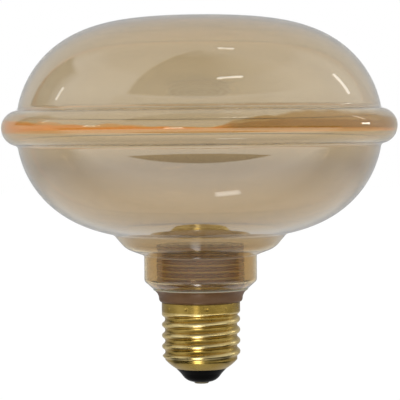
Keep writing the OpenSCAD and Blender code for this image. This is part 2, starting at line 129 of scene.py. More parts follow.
print("materials before:", len(bpy.data.materials))

# %% [markdown]
# No real surface is one flat colour. A finish gets its life from patterns that are worked out at each
# point: noise whose blotches have a real size in millimetres, turned into numbers, colours or bumps.

# %% Helpers for patterns
def place(tree):
    """The point on the surface in metres, in the bulb's own frame."""
    return add(tree, "TexCoord").outputs["Object"]


def grains(tree, mm, detail=2.0, stretch=(1, 1, 1)):
    """Noise whose blotches are about mm across, as an output from 0 to 1."""
    scaled = add(tree, "Mapping", {"Vector": place(tree), "Scale": stretch})
    return add(tree, "TexNoise", {"Vector": scaled.outputs[0], "Scale": 1 / (mm * MM),
                                  "Detail": detail}).outputs["Fac"]


def spread(tree, value, low, high, source=(0.3, 0.7)):
    """Turns a 0 to 1 pattern into numbers from low to high."""
    return add(tree, "MapRange", {"Value": value, "From Min": source[0], "From Max": source[1],
                                  "To Min": low, "To Max": high}).outputs[0]


def blend(tree, factor, first, second):
    """A colour between two hex colours or colour outputs."""
    colours = {6: first, 7: second}
    inputs = {key: linear(c) if isinstance(c, str) else c for key, c in colours.items()}
    mix = add(tree, "Mix", {0: factor, **inputs}, data_type="RGBA")
    return mix.outputs[2]


def relief(tree, shader, height, mm, strength=1.0):
    """Turns a 0 to 1 height pattern into bumps that are mm high."""
    bump = add(tree, "Bump", {"Height": height, "Distance": mm * MM, "Strength": strength})
    tree.links.new(bump.outputs[0], shader.inputs["Normal"])


print("blotches of 0.5 mm are noise of scale", round(1 / (0.5 * MM)))

# %% [markdown]
# The round pieces are lathed: a half outline of (radius, height) points is turned around the Z
# axis. A point on the axis becomes one vertex, so the ends close without slivers. A line that runs
# upward has its faces turned over, because glass only bends light the right way if all faces look
# outward. Edges that are really sharp are marked by their angle, and the rest is shaded smooth.

# %% Helper for lathed pieces
def lathe(name, line, steps=192, closed=False, sharp=40, shape=None):
    """Turns line around Z. closed joins its ends. shape(r, z, angle) may change each radius."""
    rows, points = [], []
    for r, z in line:
        if r < 1e-6:
            rows.append([len(points)] * steps)
            points.append((0, 0, z * MM))
            continue
        rows.append(range(len(points), len(points) + steps))
        for i in range(steps):
            a = 2 * pi * i / steps
            rr = shape(r, z, a) if shape else r
            points.append((rr * cos(a) * MM, rr * sin(a) * MM, z * MM))
    faces = []
    turns = zip(line, line[1:] + line[:1])
    upward = sum(a[0] * b[1] - b[0] * a[1] for a, b in turns) > 0
    pairs = list(zip(rows, rows[1:])) + ([(rows[-1], rows[0])] if closed else [])
    for low, high in pairs:
        for i in range(steps):
            j = (i + 1) % steps
            corners = [low[i], high[i], high[j], low[j]]
            if upward:
                corners.reverse()
            face = [c for k, c in enumerate(corners) if c not in corners[:k]]
            if len(face) > 2:
                faces.append(face)
    mesh = bpy.data.meshes.new(name)
    mesh.from_pydata(points, [], faces)
    mesh.validate()
    mesh.shade_smooth()
    mesh.set_sharp_from_angle(angle=radians(sharp))
    piece = bpy.data.objects.new(name, mesh)
    bpy.context.scene.collection.objects.link(piece)
    print(name, len(faces), "faces")
    return piece


# %% [markdown]
# A piece that is built anew takes over from one or more CAD nodes. It gets its material, moves with the
# bulb's only body, and hides the nodes that it stands for.

# %% Helper for new pieces
def fit(piece, made, slot, *nodes):
    """Gives a new piece its material, and hands it to the frame in place of the CAD nodes."""
    piece.data.materials.append(made)
    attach(piece, "root")
    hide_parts(*nodes)
    print(piece.name, "in", made.name, "for", ", ".join(nodes))


# %% [markdown]
# The glass is blown into a mould, so its outline is made of a few clean curves: a squarish dome and
# bowl, a round roll between them with small fillets, and below them a step, the neck and a
# shoulder that closes in on the mouth. The sizes are the CAD model's own, in millimetres, apart
# from the wall. It is drawn thinner here, because a thick one bends too much light at the edges.

# %% Sizes of the glass
BODY_R, DOME_H, BOWL_H, SQUARENESS = 61.33, 37.0, 37.7, 3.19
ROLL_R, ROLL_STAND, FILLET_TOP, FILLET_LOW = 6.07, 4.87, 1.8, 1.2
GLASS_WALL = 0.8
NECK_R, MOUTH_R, MOUTH_OUT_R = 18.9, 15.0, 15.9
MOUTH_Z, SHOULDER_Z, NECK_TOP_Z, STEP_TOP_Z = 31.9, 34.6, 43.2, 50.3
STEP_R, BELLY_W, BELLY_H, BELLY_R = 29.1, 6.15, 2.3, 8.0
STEP_FILLET, NECK_FILLET, SHOULDER_R = 3.5, 0.8, 1.6

ROLL_C = BODY_R + ROLL_STAND - ROLL_R
EQUATOR_Z = STEP_TOP_Z + BOWL_H * sqrt(1 - (STEP_R / BODY_R) ** SQUARENESS)
print("middle of the roll at", round(EQUATOR_Z, 2), "mm, outer radius", round(ROLL_C + ROLL_R, 2))

# %% [markdown]
# Four small functions draw the outline: an arc, a round corner between two straight lines, a point
# on the squarish dome or bowl, and a line moved inwards by the wall. They follow the CAD model's
# formulas with many more points, because a glass edge shows every facet.

# %% Functions for outlines
def arc(centre, r, start, end, steps):
    """Points of an arc in degrees, without its first one."""
    turns = [radians(start + (end - start) * i / steps) for i in range(1, steps + 1)]
    return [(centre[0] + r * cos(t), centre[1] + r * sin(t)) for t in turns]


def bend(a, b, c, r, steps):
    """A round corner at b between the lines from a and to c."""
    a, b, c = Vector(a), Vector(b), Vector(c)
    u, v = (a - b).normalized(), (c - b).normalized()
    half = acos(u.dot(v)) / 2
    centre = b + (u + v).normalized() * r / sin(half)
    start, end = b + u * r / tan(half) - centre, b + v * r / tan(half) - centre
    first = degrees(atan2(start.y, start.x))
    sweep = (degrees(atan2(end.y, end.x)) - first + 180) % 360 - 180
    return [tuple(centre + start)] + arc(centre, r, first, first + sweep, steps)


def body_point(turn, h):
    """Radius and height on the dome or bowl, turn degrees from its pole."""
    return BODY_R * sin(radians(turn)) ** (2 / SQUARENESS), h * cos(radians(turn))


def inset(line, w):
    """The line moved inwards by w, with its first point kept on the axis."""
    moved = [(0, line[0][1] - w)]
    for before, here, after in zip(line, line[1:], line[2:] + line[-1:]):
        along = (Vector(after) - Vector(before)).normalized()
        moved.append((here[0] + w * along.y, here[1] - w * along.x))
    return moved


print("dome halfway down:", [round(v, 2) for v in body_point(60, DOME_H)])

# %% [markdown]
# Where the roll meets the dome and the bowl there is a fillet, a small round hollow that touches
# both. Its centre lies one fillet radius outside the wall and one fillet radius off the roll.

# %% Fillets and corners of the glass
def fillet(f, h):
    """Centre of the fillet beside the roll, as a radius and a distance from the roll's middle."""
    def wall(dz):
        return BODY_R * (1 - (dz / h) ** 2) ** (1 / SQUARENESS)

    def reach(r):
        return sqrt((ROLL_R + f) ** 2 - (r + f - ROLL_C) ** 2)

    dz = reach(wall(reach(wall(ROLL_R))))
    return wall(dz) + f, dz


top_r, top_dz = fillet(FILLET_TOP, DOME_H)
low_r, low_dz = fillet(FILLET_LOW, BOWL_H)
top_lean = degrees(atan2(top_dz, top_r - ROLL_C))
low_lean = degrees(atan2(low_dz, low_r - ROLL_C))
dome_end = degrees(acos(top_dz / DOME_H))
bowl_start = degrees(acos(low_dz / BOWL_H))
foot_r = STEP_R + STEP_FILLET * 0.4
bowl_end = degrees(asin((foot_r / BODY_R) ** (SQUARENESS / 2)))
foot = (foot_r, EQUATOR_Z - BOWL_H * sqrt(1 - (foot_r / BODY_R) ** SQUARENESS))
corners = [foot, (STEP_R, STEP_TOP_Z), (NECK_R + BELLY_W, NECK_TOP_Z + BELLY_H),
           (NECK_R, NECK_TOP_Z), (NECK_R, SHOULDER_Z), (MOUTH_OUT_R, MOUTH_Z)]
rounds = [STEP_FILLET * 0.7, BELLY_R, NECK_FILLET, SHOULDER_R]
print("fillets", round(top_dz, 2), "mm above and", round(low_dz, 2), "mm below the roll's middle")

# %% [markdown]
# The outline runs from the crown over the dome, round the roll between its two fillets, down the bowl
# and over the step and the neck to the mouth. Longer curves get more points.

# %% Outline of the glass
outline = [(0, EQUATOR_Z + DOME_H)]
outline += [(r, EQUATOR_Z + h) for r, h in
            (body_point(dome_end * i / 64, DOME_H) for i in range(1, 65))]
outline += arc((top_r, EQUATOR_Z + top_dz), FILLET_TOP, 180, 180 + top_lean, 8)
outline += arc((ROLL_C, EQUATOR_Z), ROLL_R, top_lean, -low_lean, 44)
outline += arc((low_r, EQUATOR_Z - low_dz), FILLET_LOW, 180 - low_lean, 180, 7)
outline += [(r, EQUATOR_Z - h) for r, h in
            (body_point(bowl_start + (bowl_end - bowl_start) * i / 48, BOWL_H) for i in range(1, 49))]
for i, r in enumerate(rounds):
    outline += bend(*corners[i:i + 3], r, 9)
print("outline points:", len(outline), "lowest", round(outline[-1][1], 2))

# %% [markdown]
# The mouth's edge is cut flat, and inside it the lining comes down on the shoulder. Outer skin,
# mouth and lining make one closed wall, which light crosses twice, as in real glass.

# %% Blown glass wall
slope = atan2(SHOULDER_Z - MOUTH_Z, NECK_R - MOUTH_OUT_R)
lip_z = MOUTH_Z + GLASS_WALL / cos(slope) - (MOUTH_OUT_R - MOUTH_R) * tan(slope)
lining = inset(outline, GLASS_WALL)
mouth = [(MOUTH_OUT_R, MOUTH_Z), (MOUTH_R, MOUTH_Z), (MOUTH_R, lip_z)]
glass = lathe("glass_blown", outline + mouth + lining[::-1], sharp=50)

# %% [markdown]
# The glass changes its colour with height, and a band along the roll has an upper edge of changing
# height. Both are given as a few stops and read off between them: the edge from a curve and the tint
# from a ramp of colours.

# %% Helpers for edges and tints
def curve_along(tree, value, stops):
    """A curve through (position, height) stops in millimetres, as an output in metres."""
    (low, first), (high, last) = stops[0], stops[-1]
    lift = max(h for _, h in stops)
    curve = add(tree, "FloatCurve", {"Value": spread(tree, value, 0, 1, (low * MM, high * MM))})
    points = curve.mapping.curves[0].points
    points[0].location = (0, first / lift)
    points[1].location = (1, last / lift)
    for x, h in stops[1:-1]:
        points.new((x - low) / (high - low), h / lift)
    curve.mapping.update()
    return add(tree, "Math", {0: curve.outputs[0], 1: lift * MM}, operation="MULTIPLY").outputs[0]


def tint_by_height(tree, z, tints):
    """A colour that changes along Z through (height in millimetres, hex colour) stops."""
    low, high = tints[0][0], tints[-1][0]
    ramp = add(tree, "ValToRGB", {0: spread(tree, z, 0, 1, (low * MM, high * MM))})
    stops = ramp.color_ramp.elements
    for h, colour in tints[1:-1]:
        stops.new((h - low) / (high - low)).color = linear(colour)
    stops[0].color, stops[-1].color = linear(tints[0][1]), linear(tints[-1][1])
    return ramp.outputs["Color"]


print("stops are read off between", round(outline[-1][1], 1), "and", round(outline[0][1], 1), "mm")

# %% [markdown]
# A finish often has to stay within a region. A mask is a number that is 1 inside a region and 0
# outside. These helpers make masks from places in the bulb's own frame, join them, and choose between
# two numbers by one.

# %% Helpers for masks
def from_axis(tree, split):
    """How far a point lies from the bulb's axis. split is a Separate XYZ node."""
    flat = add(tree, "CombineXYZ", {0: split.outputs["X"], 1: split.outputs["Y"]}).outputs[0]
    return add(tree, "VectorMath", {0: flat}, operation="LENGTH").outputs["Value"]


def past(tree, value, mm, soft):
    """A mask that is 0 before a place and 1 past it. Its edge is soft mm wide to both sides."""
    return spread(tree, value, 0, 1, ((mm - soft) * MM, (mm + soft) * MM))


def short_of(tree, value, mm, soft):
    """The opposite of past: 1 before the place and 0 past it."""
    return spread(tree, value, 1, 0, ((mm - soft) * MM, (mm + soft) * MM))


def within(tree, *masks):
    """1 only where all of the masks are, because they are multiplied."""
    product = masks[0]
    for mask in masks[1:]:
        product = add(tree, "Math", {0: product, 1: mask}, operation="MULTIPLY").outputs[0]
    return product


def choose(tree, mask, outside, inside):
    """A number that is outside where the mask is 0, and inside where it is 1."""
    return add(tree, "Mix", {0: mask, 2: outside, 3: inside}, data_type="FLOAT").outputs[0]


print("a mask for the roll starts past radius", BODY_R, "mm")

# %% [markdown]
# Soda-lime glass with a smoky amber tint, blown and left fire-polished: its surface is as smooth as a
# liquid's, so roughness is nothing. The base colour is what one wall lets through. The tints by height
# give it, and their stops also carry painted light and shade: they are lighter or darker with the
# reflections seen at each height, and the dark narrow stop at 51.2 mm is a painted reflection of the
# brown and brass parts below, seen in the fold above the step.
# Along the roll a band of painted reflection is drawn into the colour: orange over one half and brown
# over the other, where a thin orange line stays under the brown. The band's lower edge is level, and
# its upper edge wanders, so its height is worked out from the place along X with some noise.
# A clear coat of high IOR stands for the lustre, a film that makes the reflections stronger than
# those of bare glass. It is weaker on the roll and on the neck. Blowing leaves very low waves in the
# wall, here about 30 mm long. Each edge below is a place and its softness, in millimetres.

# %% Amber glass
# Tints by height, with painted light: lighter or darker with the reflections at each height, and a
# painted reflection at 51.2 mm.
TINTS_WITH_PAINTED_LIGHT = [(35, "ccb68c"), (43, "cbb384"), (47, "c2ad84"), (50, "c6b38c"), (51.2, "b3986a"),
         (52.4, "c8b692"), (60, "d2c1a3"), (73, "bdaf98"), (83, "d8c9ab"), (90, "d8ccb6"),
         (98, "ded3be"), (112, "dacdb4"), (118, "dacbb0"), (123, "d6bf98")]
# colours of the painted reflection in a band along the roll
REFLECTION_ORANGE, REFLECTION_BROWN, WANDER = "e6b87c", "c1a36f", 0.7
BAND_TOPS = [(-66, 88.9), (-45, 87.2), (-20, 86.4), (7, 86.3), (11, 87.9), (66, 88.5)]
TOP_EDGE, LOW_EDGE, ROLL_EDGE = (-0.15, 0.25), (84.4, 0.2), (61.85, 0.65)
BROWN_EDGE_X, BROWN_EDGE_Z = (8, 4), (85.2, 0.4)
FILM_ON_ROLL, FILM_ON_NECK, NECK_EDGE = 0.35, 0.3, (49.5, 2.5)

amber_glass, tree, shader = material("soda_lime_glass_blown_amber", Roughness=0.0, IOR=1.5,
                                     Transmission_Weight=1.0, Coat_IOR=1.7, Coat_Roughness=0.0)
split = add(tree, "SeparateXYZ", {0: place(tree)})
x, z = split.outputs["X"], split.outputs["Z"]
# painted reflection along the roll: where its band lies, and its wandering upper edge
wander = spread(tree, grains(tree, 9, detail=2), -WANDER * MM, WANDER * MM)
top = add(tree, "Math", {0: curve_along(tree, x, BAND_TOPS), 1: wander}).outputs[0]
under_top = add(tree, "Math", {0: top, 1: z}, operation="SUBTRACT").outputs[0]
on_roll = past(tree, from_axis(tree, split), *ROLL_EDGE)
band = within(tree, past(tree, under_top, *TOP_EDGE), past(tree, z, *LOW_EDGE), on_roll)
browner = within(tree, past(tree, x, *BROWN_EDGE_X), past(tree, z, *BROWN_EDGE_Z))
painted_reflection = blend(tree, browner, REFLECTION_ORANGE, REFLECTION_BROWN)
tree.links.new(blend(tree, band, tint_by_height(tree, z, TINTS_WITH_PAINTED_LIGHT), painted_reflection), shader.inputs["Base Color"])
film = within(tree, choose(tree, on_roll, 1.0, FILM_ON_ROLL),
              choose(tree, past(tree, z, *NECK_EDGE), FILM_ON_NECK, 1.0))
tree.links.new(film, shader.inputs["Coat Weight"])
relief(tree, shader, grains(tree, 30, detail=1), 0.06, strength=0.25)
fit(glass, amber_glass, "amber_glass", "glass_envelope")
print("band from", LOW_EDGE[0], "to", max(h for _, h in BAND_TOPS), "mm")

# %% [markdown]
# The lens is moulded in clear polycarbonate. Seven round ribs run up its side and a saw-tooth of
# rings covers its top, both to spread the light of the LEDs under it. It is drawn with the same
# numbers as the CAD piece and finer arcs.

# %% Ribbed lens
LENS_R, RIB_DEPTH, RIB_COUNT, LENS_WALL = 14.85, 0.45, 7, 1.2
LENS_LOW_Z, LENS_CEILING_Z, LENS_TOP_Z, RING_COUNT, RING_H = 31.6, 44.7, 47.0, 4, 0.7

groove_r = LENS_R - RIB_DEPTH
lens_bore_r = groove_r - LENS_WALL
rib_h = (LENS_TOP_Z - LENS_LOW_Z) / RIB_COUNT
ring_w = groove_r / RING_COUNT
ribs = [(groove_r + RIB_DEPTH * cos(t), LENS_LOW_Z + rib_h * (i + 0.5 + sin(t) / 2))
        for i in range(RIB_COUNT) for t in (radians(-90 + 18 * k) for k in range(10))]
crown = []
for i in range(RING_COUNT):
    crown += [(groove_r - ring_w * i, LENS_TOP_Z), (groove_r - ring_w * (i + 1), LENS_TOP_Z - RING_H)]
crown[-1] = (0, crown[-1][1])
ceiling = [(0, LENS_CEILING_Z), (lens_bore_r, LENS_CEILING_Z), (lens_bore_r, LENS_LOW_Z)]
lens = lathe("lens_ribbed", ribs + crown + ceiling, steps=144, closed=True, sharp=35)

# %% [markdown]
# Clear polycarbonate is glossy from a polished mould and has a higher IOR than glass. The grooves
# between the ribs and the ribs' crests are drawn milky and pale: partly the matt skin that a mould
# leaves in the grooves, and partly painted highlights that stand for the glints on the ribs. The place
# within a rib comes from the height divided by the ribs' height.

# %% Clear polycarbonate
GROOVE_SHARE, GROOVE_SOFT, CREST_HIGHLIGHT = 0.2, 0.12, 0.6

clear_plastic, tree, shader = material("polycarbonate_moulded_clear", IOR=1.58)
height = add(tree, "SeparateXYZ", {0: place(tree)}).outputs["Z"]
from_low = add(tree, "Math", {0: height, 1: LENS_LOW_Z * MM}, operation="SUBTRACT").outputs[0]
in_ribs = add(tree, "Math", {0: from_low, 1: rib_h * MM}, operation="DIVIDE").outputs[0]
in_rib = add(tree, "Math", {0: in_ribs, 1: 0.5}, operation="PINGPONG").outputs[0]
uneven = spread(tree, grains(tree, 4), 0.7, 1.3)
# milky pale lines: matt skin in the grooves, and painted highlights on the grooves and the crests
groove = spread(tree, in_rib, 1, 0, source=(GROOVE_SHARE - GROOVE_SOFT, GROOVE_SHARE))
crest = spread(tree, in_rib, 0, CREST_HIGHLIGHT, source=(0.4, 0.5))
lines = add(tree, "Math", {0: groove, 1: crest}).outputs[0]
frosted_and_highlight = add(tree, "Math", {0: lines, 1: uneven}, operation="MULTIPLY", use_clamp=True).outputs[0]
finish(tree, shader, blend(tree, frosted_and_highlight, "eeca8c", "fff2d0"), choose(tree, frosted_and_highlight, 0.05, 0.4))
tree.links.new(choose(tree, frosted_and_highlight, 0.85, 0.05), shader.inputs["Transmission Weight"])
fit(lens, clear_plastic, "clear_plastic", "ring_lens")

# %% [markdown]
# The brass shell is thin sheet, rolled between dies into the screw thread. Its radius depends on
# height and angle together: the crest climbs one pitch in a turn, and dies out at both ends. So it
# is lathed too, with a radius function that carries the thread and the small punch marks that
# lock the shell onto the housing.

# %% Sizes of the brass
THREAD_R, THREAD_DEPTH, PITCH, LEAD_Z = 13.15, 1.05, 3.629, 2.7
TAPER_R, TAPER_Z, THREAD_Z, RIM_Z, RIM_TOP_Z = 8.5, 5.1, 8.1, 24.4, 27.4
SHELL_WALL, FADE_H = 0.4, 1.6
PUNCH_COUNT, PUNCH_TURN, PUNCH_R, PUNCH_Z, PUNCH_DEEP = 12, 0.27, 0.55, 25.75, 0.36
ROOT_R = THREAD_R - THREAD_DEPTH
print("thread:", round((RIM_Z - THREAD_Z) / PITCH, 2), "turns")

# %% [markdown]
# Seen from the side, the thread is an arc over each crest and an arc through each root. It fades in
# and out over a short height, stands on a cone at its lower end, and ends in the plain rim. A punch
# mark is a shallow round dent.

# %% Functions of the thread
def ease(x):
    """A smooth change from 0 to 1."""
    t = max(0.0, min(1.0, x))
    return t * t * (3 - 2 * t)


def wave(u):
    """Height of the thread u turns away from a crest: an arc over it and an arc through the root."""
    c, s = PITCH / 4, THREAD_DEPTH / 2
    r = (c * c + s * s) / (2 * s)
    d = abs(u - round(u)) * PITCH
    return THREAD_DEPTH - r + sqrt(r * r - d * d) if d < c else r - sqrt(r * r - (2 * c - d) ** 2)


def brass_radius(r, z, a):
    """Radius of the brass at a height and an angle. r is 1 outside and 1 + the wall inside."""
    if z < THREAD_Z:
        t = (z - TAPER_Z) / (THREAD_Z - TAPER_Z)
        return TAPER_R + (ROOT_R - TAPER_R) * t * (1.3 - 0.3 * t) - (r - 1)
    w = wave((z - THREAD_Z - LEAD_Z) / PITCH - a / (2 * pi)) * ease((z - THREAD_Z) / FADE_H)
    outer = ROOT_R + w + (THREAD_DEPTH - w) * ease((z - RIM_Z) / FADE_H + 1)
    step = 2 * pi / PUNCH_COUNT
    turn = (a / step - PUNCH_TURN + 0.5) % 1 - 0.5
    off = hypot(turn * step * THREAD_R, z - PUNCH_Z) / PUNCH_R
    return outer - PUNCH_DEEP * (1 - ease(off)) - (r - 1)


print("rim radius:", round(brass_radius(1, RIM_TOP_Z, 0), 2), "mm")

# %% [markdown]
# The upper edge of the sheet is folded a little inwards, and so is the lower one, as a pressed edge
# always is. The outside is drawn finely for the dents, and the hidden inside with fewer rows.

# %% Brass shell
def rows_between(low, high, step):
    """Heights from low to high, about step apart."""
    count = max(1, ceil((high - low) / step))
    return [low + (high - low) * i / count for i in range(count + 1)]


outside = rows_between(TAPER_Z, THREAD_Z, 0.4)[:-1] + rows_between(THREAD_Z, RIM_Z, 0.2)[:-1]
outside += rows_between(RIM_Z, RIM_TOP_Z - 0.12, 0.16)
profile = [(1.12, TAPER_Z), (1.0, TAPER_Z + 0.08)] + [(1, z) for z in outside[1:]]
profile += [(1.03, RIM_TOP_Z - 0.05), (1.12, RIM_TOP_Z)]
inside = rows_between(TAPER_Z, RIM_TOP_Z, 0.45)[::-1]
profile += [(1 + SHELL_WALL, z) for z in inside]
brass = lathe("shell_rolled", profile, steps=360, closed=True, sharp=60, shape=brass_radius)

# %% [markdown]
# Rolled brass is bright but never a mirror: the dies leave fine lines around the axis, and hands leave
# faint duller patches. In the thread's roots the colour is duller, as tarnish and as painted shade, and
# on the plain rim it is duller as painted shade, for the dark that the rim mirrors. The crests are
# rubbed bright each time the bulb is screwed in, so the colour also follows the distance from the axis.
# Brass is a metal: its colour is that of its reflections and its IOR stays at the default. The
# lines are drawn 0.25 mm apart, coarser than real ones, to show.

# %% Rolled brass
bright_brass, tree, shader = material("brass_rolled_bright", Metallic=1.0)
split = add(tree, "SeparateXYZ", {0: place(tree)})
on_crest = past(tree, from_axis(tree, split), THREAD_R - THREAD_DEPTH / 2, THREAD_DEPTH / 2)
rubbed = within(tree, on_crest, short_of(tree, split.outputs["Z"], RIM_Z - 0.1, 0.2))
patches = grains(tree, 5, detail=4)
lines = grains(tree, 0.5, detail=1, stretch=(0.12, 0.12, 2.2))
cleaner = blend(tree, spread(tree, patches, 0, 1), "dcc07a", "ecd89c")
# duller colour: tarnish and painted shade in the roots, painted shade on the plain rim, and also on the
# cone
tarnish_and_painted_shade = blend(tree, spread(tree, patches, 0, 1), "a5883f", "b99d54")
worn = add(tree, "Math", {0: spread(tree, patches, 0.2, 0.32), 1: spread(tree, lines, 0, 0.06)})
finish(tree, shader, blend(tree, rubbed, tarnish_and_painted_shade, cleaner), worn.outputs[0])
relief(tree, shader, lines, 0.004, strength=0.6)
fit(brass, bright_brass, "cap_brass", "screw_shell")

# %% [markdown]
# The LEDs are small white packages with a window of yellow phosphor and a metal pad at each end.
# Each is built from boxes with bevelled upper edges, because a moulded block has no sharp ones.

# %% Helper for bevelled boxes
def bevelled_box(points, faces, tags, size, centre, turn, tag, edge=0.08):
    """Adds a box with its upper edges bevelled to the lists, turned around Z by turn."""
    sx, sy, sz = (s / 2 for s in size)
    first = len(points)
    for z, cut in ((-sz, 0), (sz - edge, 0), (sz, edge)):
        for x, y in ((-1, -1), (1, -1), (1, 1), (-1, 1)):
            p = Vector((centre[0] + x * (sx - cut), centre[1] + y * (sy - cut), centre[2] + z))
            p.rotate(Euler((0, 0, turn)))
            points.append(p * MM)
    new = [[0, 3, 2, 1], [8, 9, 10, 11]]
    new += [[k + i, k + (i + 1) % 4, k + 4 + (i + 1) % 4, k + 4 + i] for k in (0, 4) for i in range(4)]
    faces += [[first + i for i in face] for face in new]
    tags += [tag] * len(new)


# %% [markdown]
# Eight packages stand in a ring on the board, and all of them are one mesh. Each face is tagged with
# its material: 0 for the resin body, 1 for the phosphor window and 2 for the pads.

# %% LED packages
LED_COUNT, LED_RING_R, LED_L, LED_W, LED_H, LED_Z = 8, 8.0, 3.5, 2.8, 0.75, 42.3

points, faces, tags = [], [], []
for i in range(LED_COUNT):
    turn = (i + 0.5) * 2 * pi / LED_COUNT
    middle = LED_Z + LED_H / 2
    bevelled_box(points, faces, tags, (LED_W, LED_L - 0.5, LED_H - 0.06),
                 (LED_RING_R, 0, middle - 0.03), turn, 0)
    bevelled_box(points, faces, tags, (LED_W * 0.74, LED_L * 0.62, 0.12),
                 (LED_RING_R, 0, LED_Z + LED_H - 0.06), turn, 1, edge=0.05)
    for end in (-1, 1):
        bevelled_box(points, faces, tags, (LED_W * 0.8, 0.3, 0.18),
                     (LED_RING_R, end * (LED_L / 2 - 0.15), LED_Z + 0.09), turn, 2, edge=0.04)
mesh = bpy.data.meshes.new("led_packages")
mesh.from_pydata(points, [], faces)
mesh.polygons.foreach_set("material_index", tags)
leds = bpy.data.objects.new("led_packages", mesh)
bpy.context.scene.collection.objects.link(leds)
print("led_packages", len(faces), "faces")

# %% [markdown]
# The package is white moulded resin, the window is silicone filled with phosphor powder, which
# looks lemon yellow when it is off, and the pads are tinned copper.

# %% LED materials
led_resin, tree, shader = material("pct_resin_moulded_white", IOR=1.55)
finish(tree, shader, blend(tree, grains(tree, 0.4), "efeee6", "e2e0d6"),
       spread(tree, grains(tree, 0.2), 0.35, 0.5))

phosphor, tree, shader = material("phosphor_silicone_cast", IOR=1.43, Subsurface_Weight=0.2,
                                  Subsurface_Scale=0.0004)
finish(tree, shader, blend(tree, grains(tree, 0.15), "f0cf3f", "e3b52a"),
       spread(tree, grains(tree, 0.3), 0.18, 0.32))

tin, tree, shader = material("copper_tinned_dipped", Metallic=1.0)
finish(tree, shader, blend(tree, grains(tree, 0.5), "cfccc2", "b9b5aa"),
       spread(tree, grains(tree, 0.3), 0.22, 0.4))

fit(leds, led_resin, "phosphor", "led_chips")
leds.data.materials.append(phosphor)
leds.data.materials.append(tin)

# %% [markdown]
# The remaining pieces keep their CAD shape and get finishes. The housing is PBT, a tough plastic with a
# satin skin and weak reflections, because it copies the fine spark-eroded grain of its mould, here
# about 0.3 mm. Under the lens its tower is drawn pale gold, as painted light, so that it shows bright
# through the glass and the lens, where little light reaches it. The bead of silicone holds the glass on
# it.

# %% Finishes of the housing, the adhesive and the cap's end
def dress(made, *nodes):
    """Puts a material on CAD nodes whose shape is right as it is."""
    for name in nodes:
        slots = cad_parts[name].data.materials
        slots.clear()
        slots.append(made)
    print(made.name, "on", ", ".join(nodes))


brown, tree, shader = material("pbt_moulded_brown", IOR=1.5, Specular_IOR_Level=0.3)
cloud = spread(tree, grains(tree, 9, detail=3), 0, 1)
height = add(tree, "SeparateXYZ", {0: place(tree)}).outputs["Z"]
under_lens = past(tree, height, LENS_LOW_Z, 0.2)
# painted light: the tower under the lens is drawn pale so that it shows bright through the glass
painted_light_tower = blend(tree, cloud, "e0ab68", "cd985c")
finish(tree, shader, blend(tree, under_lens, blend(tree, cloud, "7c5a3a", "6d4f34"), painted_light_tower),
       spread(tree, grains(tree, 1.5), 0.36, 0.5))
relief(tree, shader, grains(tree, 0.3, detail=3), 0.01, strength=0.5)
dress(brown, "housing")

silicone, tree, shader = material("silicone_cast_clear", IOR=1.41, Subsurface_Weight=0.3,
                                  Subsurface_Scale=0.001)
finish(tree, shader, blend(tree, grains(tree, 1.2), "d9cfba", "c3b79f"),
       spread(tree, grains(tree, 0.8), 0.4, 0.6))
dress(silicone, "neck_adhesive")

# %% [markdown]
# The black insulator is pressed from molten black glass, with slight ripples where it cooled.
# Handling has dulled it, so its reflections are weak and soft. The centre contact is a brass rivet with
# a tin coat, drawn dark as painted shade at the tip.

# %% Black glass and tinned brass
black_glass, tree, shader = material("soda_lime_glass_pressed_black", IOR=1.52, Specular_IOR_Level=0.03)
finish(tree, shader, blend(tree, grains(tree, 2), "060505", "0c0a09"),
       spread(tree, grains(tree, 1.6), 0.25, 0.38))
relief(tree, shader, grains(tree, 3, detail=1), 0.03, strength=0.5)
dress(black_glass, "cap_insulator")

shaded_tinned_brass, tree, shader = material("brass_tinned_pressed", Metallic=1.0)
# painted shade: the tin is drawn dark grey, as in shadow at the tip
finish(tree, shader, blend(tree, grains(tree, 1), "857b62", "6e654f"),
       spread(tree, grains(tree, 0.6), 0.25, 0.42))
relief(tree, shader, grains(tree, 0.35, detail=2), 0.01)
dress(shaded_tinned_brass, "centre_contact")

# %% [markdown]
# Inside the lens a drawn aluminium cup carries the LED board. Drawing leaves rings around the cup,
# so its noise is stretched into them. The board has a white solder mask, a lacquer that is screened
# on and has a fine orange-peel surface.

# %% Aluminium, white board, pins and solder
aluminium, tree, shader = material("aluminium_drawn", Metallic=1.0)
rings = grains(tree, 0.6, detail=2, stretch=(0.15, 0.15, 2.5))
finish(tree, shader, blend(tree, rings, "c9cacb", "b2b3b5"), spread(tree, rings, 0.28, 0.45))
relief(tree, shader, rings, 0.004)
dress(aluminium, "heat_cup")

white_mask, tree, shader = material("solder_mask_screened_white", IOR=1.5)
finish(tree, shader, blend(tree, grains(tree, 5, detail=3), "ecebe4", "dedcd2"),
       spread(tree, grains(tree, 1), 0.25, 0.4))
relief(tree, shader, grains(tree, 0.5), 0.006)
dress(white_mask, "led_board")

pin_brass, tree, shader = material("brass_drawn_plated", Metallic=1.0)
finish(tree, shader, blend(tree, grains(tree, 0.6), "d8b36a", "c39a50"),
       spread(tree, grains(tree, 0.3, stretch=(1, 1, 0.2)), 0.2, 0.35))
dress(pin_brass, "led_pins")

solder, tree, shader = material("tin_solder_reflowed", Metallic=1.0)
finish(tree, shader, blend(tree, grains(tree, 0.5), "cdcdcc", "aeb0b2"),
       spread(tree, grains(tree, 0.25), 0.15, 0.35))
relief(tree, shader, grains(tree, 0.3), 0.01)
dress(solder, "solder_joints")
dress(tin, "live_lead", "neutral_lead")

# %% [markdown]
# The driver is hidden in the housing, and its parts still get the finish that each one has: first a
# green lacquered board with glass weave showing through, and the shrink sleeves of the capacitors.

